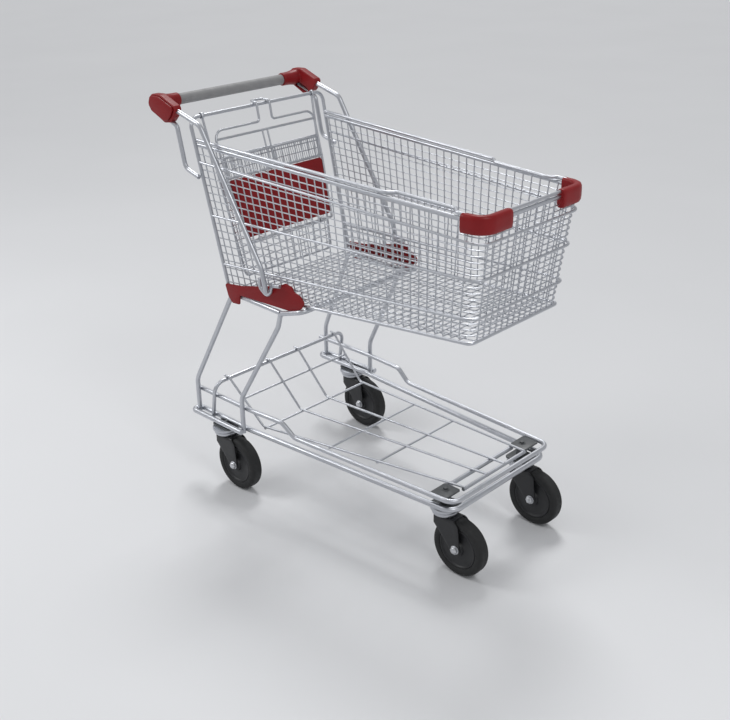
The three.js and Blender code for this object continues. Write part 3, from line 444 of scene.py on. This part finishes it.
hold(bent_rods("tray_front_bar", [[(bar_x, -bar_end, bar_z), (bar_x, bar_end, bar_z)]], bar_radius,
               sides=18), "trolley_frame", "plated_wire", "front_cross_bar")


# Castor forks
# Sheet steel folded into a fork: a flat head under the swivel and two legs that slant forward to
# the axle. It is dipped in a black coating whose orange peel is 1.5 mm across, dulled by scuffs
# of 6 mm here and there.
fork_coat = surface("black_dipped_steel", ("#18191B", "#26272A"), (160.0, 4.0), (0.34, 0.52),
                    ("Noise", 650.0, 1.5), (0.2, 0.0004), shader={"IOR": 1.5})

axle_z, trail, boss_radius = 70, 48, 14
leg_y, head_z, fold = 22, 141.7, 7
sheet_thickness = 0.003


def fork_edges(z):
    """The x of the leg's rear and front edges at a height, from the swivel's axis: straight down,
    slanting forward, and round the axle's boss."""
    boss = math.sqrt(max(0, boss_radius ** 2 - (z - axle_z) ** 2))
    rear = -16 if z > 118 else -16 + (118 - z) / 55 * 51.9
    front = 40 + (142 - z) / 13 * 14 if z > 129 else 54 + (129 - z) / 52 * 6.1
    return (trail - boss if z < 63 else rear), (trail + boss if z < 77 else front)


# The fork from the tip of one leg to the tip of the other: y from the swivel's axis, and height.
half_fork = [(leg_y, axle_z - boss_radius + boss_radius * (1 - math.cos(k * math.pi / 12)))
             for k in range(1, 7)]
half_fork += [(leg_y, z) for z in (77, 90, 104, 118, 124, 129, 133)]
half_fork += [(leg_y - fold * (1 - math.cos(k * math.pi / 10)),
               head_z - fold + fold * math.sin(k * math.pi / 10)) for k in range(6)]
half_fork += [(7, head_z), (0, head_z)]
path = half_fork + [(-u, z) for u, z in reversed(half_fork[:-1])]
columns = 6
for name, (x, y) in swivels.items():
    points, faces = [], []
    for u, z in path:
        rear, front = fork_edges(z)
        points += [spot(x + rear + (front - rear) * k / columns, y + u, z)
                   for k in range(columns + 1)]
    for row in range(len(path) - 1):
        for k in range(columns):
            at = row * (columns + 1) + k
            faces.append((at, at + 1, at + columns + 2, at + columns + 1))
    fork = piece_from("fork_" + name, points, faces, fork_coat)
    # The faces look away from the wheel, so that the sheet is thickened towards it.
    leg = fork.data.polygons[0]
    if leg.normal.y * (leg.center.y - spot(x, y, axle_z).y) < 0:
        fork.data.flip_normals()
    sheet_steel = fork.modifiers.new("sheet", "SOLIDIFY")
    sheet_steel.thickness = sheet_thickness
    sheet_steel.offset = -1
    hold(eased(fork, 0.6), "castor_" + name, "black_steel", "castor_fork_" + name)


# Axle bolts
# An M8 axle through the fork and the hub, with a washer and a domed nut at each end, all bright
# plated, so each wheel shows a small bright dot. The tool marks on the flats are about 1 mm across.
bolt_steel = surface("plated_bolt_steel", ("#BFC1C5", "#DBDCDF"), (900.0, 2.0), (0.24, 0.42),
                     drift=(0.0, 1.0), shader={"Metallic": 1.0})

leg_face, washer_face, hexagon_face = 22.3, 23.2, 28.3
shank_radius, washer_radius = 4.5, 11
dome_foot, dome_radius, dome_height = 27, 8.2, 4.6
for name, (x, y) in swivels.items():
    axle = (x + trail, y, axle_z)
    shapes = [turned([(0, -leg_face), (shank_radius, -leg_face), (shank_radius, leg_face),
                      (0, leg_face)], axle, "y", 24)]
    for side in (1, -1):
        washer = [(0, leg_face), (washer_radius, leg_face), (washer_radius, washer_face),
                  (0, washer_face)]
        hexagon = [(0, washer_face), (9.8, washer_face), (9.8, 27.5), (8.8, 28.5),
                   (0, hexagon_face)]
        dome = [(0, dome_foot)] + [
            (dome_radius * math.cos(a), dome_foot + dome_height * math.sin(a))
            for a in (0, 0.25, 0.5, 0.75, 1.0, 1.25, math.pi / 2)]
        for profile, sides in ((washer, 28), (hexagon, 6), (dome, 24)):
            shapes.append(turned([(r, side * h) for r, h in profile], axle, "y", sides))
    hold(eased(piece_from("axle_" + name, *together(*shapes), bolt_steel), 0.35),
         "castor_" + name, "nut_steel", "castor_axle_" + name)


# Wheel hubs
# Moulded nylon, near black: a rim under the tyre, a thin web with a step in it, and a boss that
# runs on the axle. The mould's grain is 0.7 mm, over faint sink marks 11 mm across.
hub_nylon = surface("black_moulded_nylon", ("#191A1C", "#232427"), (90.0, 2.0), 0.48,
                    ("Noise", 1400.0, 2.0), (0.25, 0.0003), shader={"IOR": 1.53})

# Radius, and distance from the wheel's middle: boss, web, step, and the rim under the tyre.
hub_side = [(15.5, 18.6), (17, 17.8), (18.2, 12.4), (20, 11.2), (30, 10.6), (43, 10.6), (45, 11.4),
            (46.4, 13.6), (47.6, 14.6), (49.6, 14.6), (50.4, 13.8), (50.4, 12)]
hub_profile = [(4.8, 18.6)] + hub_side + [(r, -h) for r, h in reversed(hub_side)] + [(4.8, -18.6)]
for name, (x, y) in swivels.items():
    hold(eased(piece_from("hub_" + name, *turned(hub_profile, (x + trail, y, axle_z), "y", 64),
                          hub_nylon), 0.5),
         "wheel_" + name, "hub_plastic", "castor_hub_" + name)


# Tyres
# Solid rubber moulded on to the hub's rim, with round shoulders and a plain tread. It is dull
# black with a fine roughness of 0.6 mm, and greyer in patches of 9 mm where it has run.
tyre_rubber = surface("solid_black_rubber", ("#121314", "#1F2021"), (110.0, 3.0), (0.6, 0.78),
                      ("Noise", 1700.0, 3.0), (0.3, 0.0003), shader={"IOR": 1.52})

wheel_radius, shoulder = 70, 9
tyre_side = [(50.6, 12), (50.8, 13.6), (52, 15.2), (55, 16.2), (58, 16.8), (61, 17)]
tyre_side += [(wheel_radius - shoulder + shoulder * math.sin(a), 8 + shoulder * math.cos(a))
              for a in (0.25, 0.5, 0.75, 1.0, 1.25, 1.45)] + [(wheel_radius, 7)]
tyre_profile = tyre_side + [(r, -h) for r, h in reversed(tyre_side)]
for name, (x, y) in swivels.items():
    hold(settle(piece_from("tyre_" + name, *turned(tyre_profile, (x + trail, y, axle_z), "y", 72),
                           tyre_rubber), 60),
         "wheel_" + name, "rubber", "castor_tyre_" + name)


# Basket mesh
# Drawn steel wire welded at every crossing: level wires bent round the two front corners, wires
# down one side, across the floor and up the other, and wires down the front and along the floor.
rear_top, rear_bottom = (-332.3, 212, 880), (-253.2, 203, 538)
front_top, front_bottom = (485, 169, 843.8), (452, 155, 583)
level_count, side_count, front_count = 19, 33, 14
fine_radius, beside = 1.5, 1.1
corner_bend, floor_bend = 30, 10


def mixed(a, b, t):
    """The point a share t of the way from a to b."""
    return tuple(p + (q - p) * t for p, q in zip(a, b))


def level_line(t):
    """A level wire a share t of the way down the walls, outside the upright wires."""
    rear, front = mixed(rear_top, rear_bottom, t), mixed(front_top, front_bottom, t)
    return across([(rear[0], rear[1] + beside, rear[2]),
                   (front[0] + beside, front[1] + beside, front[2], corner_bend)])


def side_line(s):
    """A wire a share s of the way to the front: down one wall, across and up the other."""
    top, bottom = mixed(rear_top, front_top, s), mixed(rear_bottom, front_bottom, s)
    return across([(top[0], top[1] - beside, top[2]),
                   (bottom[0], bottom[1] - beside, bottom[2] - fine_radius, floor_bend)])


def front_line(u):
    """A wire down the front and back along the floor, a share u of the half width to the left."""
    under = 3.8
    return [(front_top[0] - beside, front_top[1] * u, front_top[2]),
            (front_bottom[0] - beside, front_bottom[1] * u, front_bottom[2] - under, floor_bend),
            (rear_bottom[0] + 2, rear_bottom[1] * u, rear_bottom[2] - under)]


first_level, last_level = 0.14 / level_count, 18.14 / level_count
level_wires = bent_rods("level_wires", [level_line(first_level)], fine_radius,
                        [level_line(last_level)], copies=level_count, sides=8)
side_wires = bent_rods("side_and_floor_wires", [side_line(0.012)], fine_radius,
                       [side_line(0.955)], copies=side_count, sides=8, bend_points=4)
front_wires = bent_rods("front_and_floor_wires", [front_line(-0.86)], fine_radius,
                        [front_line(0.86)], copies=front_count, sides=8, bend_points=4)
hold(level_wires, "trolley_frame", "plated_wire", "basket_side_wall_left",
     "basket_side_wall_right")
hold(side_wires, "trolley_frame", "plated_wire", "basket_floor")
hold(front_wires, "trolley_frame", "plated_wire", "basket_front_wall")


# Basket rails and hoops
# Heavier wire round the outside of the mesh: two rails at the rim, three hoops that stiffen the
# walls, and the frame that the floor lies in. The upper rail steps inwards over the front half.
hoop_radius, hoop_out, rail_radius = 3, 5, 4
rail_lift, rear_lean = 12, 0.2316


def hoop_line(rear_share, front_share, out, lift=0, bend=corner_bend):
    """A line round the walls, shares of the way down their rear ends and down the front."""
    rear = mixed(rear_top, rear_bottom, rear_share)
    front = mixed(front_top, front_bottom, front_share)
    return across([(rear[0] - 1.7 - lift * rear_lean, rear[1] + out, rear[2] + lift),
                   (front[0] + out, front[1] + out, front[2] + lift, bend)])


for label, rear_share, front_share in (("upper", 0.114, 0.162), ("middle", 0.482, 0.463),
                                       ("lower", 0.825, 0.797)):
    hold(bent_rods("hoop_" + label, [hoop_line(rear_share, front_share, hoop_out)], hoop_radius),
         "trolley_frame", "plated_wire", "basket_hoop_" + label)
hold(bent_rods("rim_rail_lower", [hoop_line(0, 0, 0, 2)], rail_radius, sides=16),
     "trolley_frame", "plated_wire", "basket_second_rail")
hold(bent_rods("floor_frame", [hoop_line(1, 1, 0, -4, 14)], rail_radius, sides=16),
     "trolley_frame", "plated_wire", "basket_floor_frame")


def rim_at(x, inset=0, bend=0):
    """A corner of the upper rail, above the walls' top edge or inset from it."""
    share = (x - rear_top[0]) / (front_top[0] - rear_top[0])
    here = mixed(rear_top, front_top, share)
    return (x, here[1] - inset, here[2] + rail_lift, bend)


step_in, step_bend = 18, 16
hold(bent_rods("rim_rail_upper", [across([
    rim_at(-337), rim_at(240, 0, step_bend), rim_at(256, step_in, step_bend),
    rim_at(404, step_in, step_bend), rim_at(420, 0, step_bend),
    rim_at(front_top[0], 0, corner_bend)])], rail_radius, sides=16),
    "trolley_frame", "plated_wire", "basket_top_rail")


# Rear frame
# An upside-down U of heavy wire that stands on the posts' level tubes and leans back. The basket's
# sides are welded to its legs, and its top bar is the hinge of the gate.
top_bar_x, top_bar_z, rear_frame_radius = -353, 942, 4.5


def lean(z):
    """The x of the rear frame at a height."""
    return top_bar_x + (top_bar_z - z) * rear_lean


hold(bent_rods("rear_frame", [across([(lean(531.5), 207, 531.5),
                                      (top_bar_x, 217, top_bar_z, 24)])], rear_frame_radius,
               sides=16, bend_points=8), "trolley_frame", "plated_wire", "basket_rear_frame")


# Gate
# A frame of fine wire with a mesh welded to it. Its two side wires run on up to eyes bent round the
# top bar, so it swings forward and up when another trolley is pushed in.
gate_top, gate_foot, eye_y = 838, 552, 180
upper_row, lower_row, outer_column, weld = 826, 568, 0.93, 1.2


def gate_half(z):
    """Half the gate's width at a height: it narrows downwards, as the basket does."""
    return eye_y - (top_bar_z - z) * 32 / 390


def gate_at(y, z, ahead=0):
    """A point of the gate, or one a little ahead of its frame."""
    return (lean(z) + ahead, y, z)


def gate_row(z, ahead=0):
    """A level wire right across the gate."""
    return [gate_at(-gate_half(z), z, ahead), gate_at(gate_half(z), z, ahead)]


def gate_column(share):
    """An upright wire a share of the half width to the left of the middle."""
    return [gate_at(share * gate_half(z), z, -weld) for z in (gate_top, gate_foot)]


gate_side = [(*gate_at(gate_half(z), z), bend) for z, bend in ((936, 0), (gate_foot, 12))]
gate_frame = bent_rods("gate_frame", [across(gate_side), gate_row(gate_top)], 3)
gate_level = bent_rods("gate_level_wires", [gate_row(upper_row, weld)], fine_radius,
                       [gate_row(lower_row, weld)], copies=15, sides=8)
gate_upright = bent_rods("gate_uprights", [gate_column(-outer_column)], fine_radius,
                         [gate_column(outer_column)], copies=15, sides=8)


def eye(inner, centre, thick=3, half=4):
    """Points and faces of a wire eye bent round a bar that lies along y."""
    ring = [(inner + thick / 2 - thick / 2 * math.cos(a), half * math.sin(a))
            for a in (k * math.pi / 4 for k in range(8))]
    return turned(ring, centre, "y", 24)


seat_top, seat_shoulder, seat_rod, seat_eye_y = 904, 790, 640, 104


def seat_x(z):
    """The x of the folded seat at a height: it leans more than the gate does."""
    return -333.1 + (seat_top - z) * 0.307


gate_eyes = [eye(5.1, (top_bar_x, turn * eye_y, top_bar_z)) for turn in (1, -1)]
seat_eyes = [eye(3.6, (seat_x(seat_rod), turn * seat_eye_y, seat_rod)) for turn in (1, -1)]
hold(gate_frame, "gate", "plated_wire", "rear_gate")
for part in (gate_level, gate_upright,
             settle(piece_from("gate_eyes", *together(*gate_eyes, *seat_eyes), zinc), 60),
             bent_rods("gate_seat_arms", [[gate_at(turn * seat_eye_y, 623.5),
                                           (seat_x(seat_rod) - 5, turn * seat_eye_y, seat_rod)]
                                          for turn in (1, -1)], 2.5)):
    hold(part, "gate", "plated_wire")


# Child seat
# The back of a folding seat, bent from one wire with cross wires welded in. The middle of its top
# rod rises into a hook that catches over the rear frame's top bar while it is folded.
top_half, shoulder_half, rod_half = 163, 158.7, 144
hook_middle, hook_half, hook_z = 3, 21, 950.1


def seat_half(z):
    """Half the seat's width at a height: its sides turn inwards below the shoulder."""
    if z > seat_shoulder:
        return top_half - (seat_top - z) * (top_half - shoulder_half) / (seat_top - seat_shoulder)
    return shoulder_half - (seat_shoulder - z) * (shoulder_half - rod_half) / (
        seat_shoulder - seat_rod)


def seat_at(y, z, bend=0):
    """A corner in the seat's plane."""
    return (seat_x(z), y, z, bend)


def seat_outline(turn):
    """Half the seat's outline, from the middle of the hook to the left or right end of its rod."""
    y = hook_middle + turn * hook_half
    return [(-366, hook_middle + turn * (hook_half - 2), hook_z, 8), (-341.5, y, hook_z, 8),
            seat_at(y, seat_top, 8), seat_at(turn * top_half, seat_top, 24),
            seat_at(turn * shoulder_half, seat_shoulder, 60), seat_at(turn * rod_half, seat_rod)]


cross_top, grid_top, grid_foot = 884, 840, 793
seat_bars = [[seat_at(-seat_half(z), z), seat_at(seat_half(z), z)]
             for z in (cross_top, grid_top, grid_foot, seat_rod)]
seat_wire = bent_rods("seat_wire", [seat_outline(-1)[::-1] + seat_outline(1)] + seat_bars, 3)
seat_posts = bent_rods("seat_posts", [[seat_at(y, cross_top), seat_at(y, grid_foot)]
                                      for y in (-16, 0)], 2.2)
seat_fine = bent_rods("seat_fine_wires", [[seat_at(-151, grid_top), seat_at(-151, grid_foot)]],
                      0.9, [[seat_at(151, grid_top), seat_at(151, grid_foot)]], copies=44,
                      sides=6)
hold(seat_wire, "child_seat", "plated_wire", "seat_back", "seat_hook")
hold(seat_posts, "child_seat", "plated_wire")
hold(seat_fine, "child_seat", "plated_wire")

# Polypropylene coloured through in dark red and injection moulded. The eye sees a deep colour
# under a soft sheen, broken by the mould's grain of 0.8 mm, with slightly paler clouds from
# handling, 30 mm across.
red_moulded = surface("red_moulded_polypropylene", ("#7C1317", "#8D1B1F"), (33.0, 4.0),
                      (0.33, 0.46), ("Voronoi", 1250.0), (0.15, 0.0003),
                      shader={"IOR": 1.49, "Specular IOR Level": 0.25})

# The panel clips into the wire frame below the seat's cross wires.
panel_top, panel_foot, half_thick = 788, 651, 2.5
panel_outline = rounded([(-154.3, panel_top), (154.3, panel_top), (141, panel_foot),
                         (-141, panel_foot)], 6)
panel = piece_from("seat_panel_red", *slab(panel_outline, -half_thick, half_thick,
                                           lambda u, v, w: (seat_x(v) + w, u, v)), red_moulded)
hold(eased(panel, 1.2, 3), "child_seat", "red_plastic", "seat_panel")


# Handle tubes and bar
# Round steel tube: a brace from each end cap down the basket's side, a short tube from each cap to
# the rear frame, and a bar across between the caps, plated like the rest.
handle_x, handle_z, handle_end = -455, 966, 233
brace_y, brace_radius, link_radius, handle_bar_radius = 227.8, 6, 5.5, 10
for side, turn in both_sides:
    y = turn * brace_y
    hold(bent_rods("brace_" + side, [[(-433, y, 971), (-301, y, 934, 26), (-111, y, 628, 60),
                                      (-97, y, 571)]], brace_radius, sides=18, bend_points=9),
         "trolley_frame", "tube_steel", "handle_brace_tube_" + side)
    hold(bent_rods("handle_link_" + side, [[(-452, y, 946.5), (-388, y, 921, 14),
                                            (-367, y, 823, 22), (-318, y, 809)]], link_radius,
                   sides=18, bend_points=9),
         "trolley_frame", "tube_steel", "handle_rear_tube_" + side)
hold(bent_rods("handle_bar", [[(handle_x, -handle_end, handle_z),
                               (handle_x, handle_end, handle_z)]], handle_bar_radius, sides=24),
     "trolley_frame", "tube_steel", "handle_bar")


# Grip
# A sleeve of soft grey PVC pushed on to the bar before the caps go on. It is matt, with a faint
# leather-like grain in cells of 1.6 mm, and hands have polished patches of 20 mm.
grip_vinyl = surface("grey_soft_vinyl", ("#868687", "#989899"), (50.0, 3.0), (0.7, 0.5),
                     ("Voronoi", 620.0), (0.3, 0.0004), shader={"IOR": 1.53})

grip_inner, grip_lip, grip_radius, grip_end = 10.2, 12.4, 13.3, 169
grip_profile = [(grip_inner, -grip_end), (grip_lip, -grip_end), (grip_radius, 1 - grip_end)]
grip_profile += [(grip_radius, y) for y in range(-150, 160, 30)]
grip_profile += [(grip_radius, grip_end - 1), (grip_lip, grip_end), (grip_inner, grip_end)]
hold(settle(piece_from("grip", *turned(grip_profile, (handle_x, 0, handle_z), "y", 40),
                       grip_vinyl), 50),
     "trolley_frame", "grip", "handle_grip")


# End caps
# Two-part red mouldings that clamp the bar, the brace and the short tube together. A collar on the
# bar flares into a flat body, a lid closes its outer face, and a slot inside shows the short tube.
def loft(rings):
    """Points and faces through rings of as many points each, closed at both ends."""
    count = len(rings[0])
    faces = [(k * count + i, k * count + (i + 1) % count, (k + 1) * count + (i + 1) % count,
              (k + 1) * count + i) for k in range(len(rings) - 1) for i in range(count)]
    faces += [tuple(range(count)), tuple(range((len(rings) - 1) * count, len(rings) * count))]
    return [point for ring in rings for point in ring], faces


cap_outline = rounded([(-478, 962, 14), (-470, 988, 14), (-434, 990, 18), (-380, 969, 8),
                       (-376, 960, 6), (-388, 941, 8), (-401, 928, 7), (-422, 925, 8),
                       (-467, 946, 12)], 8, 6)
lid_outline = rounded([(-474, 964, 12), (-466, 985, 12), (-434, 986, 14), (-384, 967, 8),
                       (-382, 960, 6), (-392, 944, 8), (-405, 933, 7), (-420, 931, 8),
                       (-463, 949, 10)], 8, 6)
slot_outline = rounded([(-455, 961), (-407, 943), (-407, 929), (-455, 945)], 5)
# The neck's rings: distance from the middle, then half its depth and half its height.
neck = [(169.4, 15.4, 15.4), (170.6, 16.6, 16.6), (186, 16.8, 16.8), (195, 17.8, 17.2),
        (203, 19.4, 18.2), (210, 21.4, 19.4), (220, 23, 20.6)]
cap_inner, cap_outer, lid_inner, lid_outer = 218, 238.8, 239.8, 244.2
slot_inner, slot_outer = 210, 227
skin_cell = 0.0012


def flat(u, v, w):
    """Takes an outline in x and z, and its thickness, to the drawing."""
    return u, w, v


for side, turn in both_sides:
    cap = eased(piece_from("cap_" + side, *slab(cap_outline, turn * cap_inner, turn * cap_outer,
                                                flat), red_moulded), 2.6, 3)
    flare = piece_from("flare_" + side, *loft([
        [spot(handle_x + deep * math.cos(k * math.pi / 18), turn * y,
              handle_z + tall * math.sin(k * math.pi / 18)) for k in range(36)]
        for y, deep, tall in neck]), red_moulded)
    slot = piece_from("slot_" + side, *slab(slot_outline, turn * slot_inner, turn * slot_outer,
                                            flat), red_moulded)
    for action, tool in (("UNION", flare), ("DIFFERENCE", slot)):
        fuse = cap.modifiers.new(action.lower(), "BOOLEAN")
        fuse.operation = action
        fuse.solver = "EXACT"
        fuse.object = tool
    skin = cap.modifiers.new("skin", "REMESH")
    skin.mode = "VOXEL"
    skin.voxel_size = skin_cell
    soften = cap.modifiers.new("soften", "SMOOTH")
    soften.factor = 0.5
    soften.iterations = 3
    settle(cap, 80)
    bpy.data.objects.remove(flare)
    bpy.data.objects.remove(slot)
    hold(cap, "trolley_frame", "red_plastic", "handle_cap_" + side)
    lid = piece_from("cap_lid_" + side, *slab(lid_outline, turn * lid_inner, turn * lid_outer,
                                              flat), red_moulded)
    hold(eased(lid, 1.8, 3), "trolley_frame", "red_plastic")


# Corner bumpers
# Red mouldings snapped over the rim's two rails at the front corners. Each is a flat sleeve with
# soft edges that wraps both rails, so that trolleys and shelves don't scrape.
def bumper_path(out):
    """Points round the left corner at a distance out from the rail, from side to front."""
    corner_x, corner_y = front_top[:2]
    slope = (rear_top[1] - corner_y) / (corner_x - rear_top[0])
    stations = [(x, corner_y + out + (corner_x - x) * slope) for x in (436, 446)]
    bend = corner_bend + out
    for k in range(13):
        angle = math.pi / 2 * (1 - k / 12)
        stations.append((corner_x - corner_bend + bend * math.cos(angle),
                         corner_y - corner_bend + bend * math.sin(angle) + 1))
    return stations + [(corner_x + out, y) for y in (120, 100, 88)]


# The sleeve's section: distance out from the rail, and height.
section = [(-5, 860.4), (0, 861.6), (5, 861.4), (9, 859.4), (11, 855), (11.6, 848), (11.6, 834),
           (11, 827), (8.6, 822.4), (3, 820.6), (-3, 821.4), (-6.6, 824.4), (-7.4, 830),
           (-7.4, 854), (-6.8, 858)]
for side, turn in both_sides:
    paths = [bumper_path(out) for out, _ in section]
    sleeve = loft([[spot(path[k][0], turn * path[k][1], z) for path, (_, z) in zip(paths, section)]
                   for k in range(len(paths[0]))])
    hold(eased(piece_from("bumper_" + side, *sleeve, red_moulded), 1.2, 2, 50),
         "trolley_frame", "red_plastic", "corner_bumper_" + side)


# Side plates and brace brackets
# A red moulded guard over each lower rear corner of the basket, where the brace's foot and the
# level tube meet, and a hook of thick plated wire that is welded round the brace's foot.
plate_outline = rounded([(-262, 552, 5), (-252, 520, 8), (-240, 506, 8), (-215, 507, 4),
                         (-212, 532, 3), (-40, 532, 8), (-10, 545, 12), (1, 562, 8), (-13, 578, 8),
                         (-31, 583, 4), (-37, 594, 6), (-58, 598, 8), (-80, 587, 8),
                         (-144, 571, 14), (-202, 558, 8)], 5)
plate_thickness, strap_y, strap_radius = 4.5, 216, 4.6
strap = [(-133, 597), (-132, 574, 13), (-109, 558, 12), (-96, 571, 7), (-90, 588, 6), (-62, 593)]


def plate_y(x):
    """The plate's inner face follows the basket's side, which narrows to the front."""
    slope = (rear_bottom[1] - front_bottom[1]) / (front_bottom[0] - rear_bottom[0])
    return 213.7 - (x + 262) * slope


for side, turn in both_sides:
    guard = slab(plate_outline, 0, plate_thickness,
                 lambda u, v, w: (u, turn * (plate_y(u) + w), v))
    hold(eased(piece_from("guard_" + side, *guard, red_moulded), 1.4, 3), "trolley_frame",
         "red_plastic", "side_plate_" + side)
    hold(bent_rods("strap_" + side, [[(x, turn * strap_y, z, *bend) for x, z, *bend in strap]],
                   strap_radius, sides=14), "trolley_frame", "plated_wire",
         "brace_bracket_" + side)
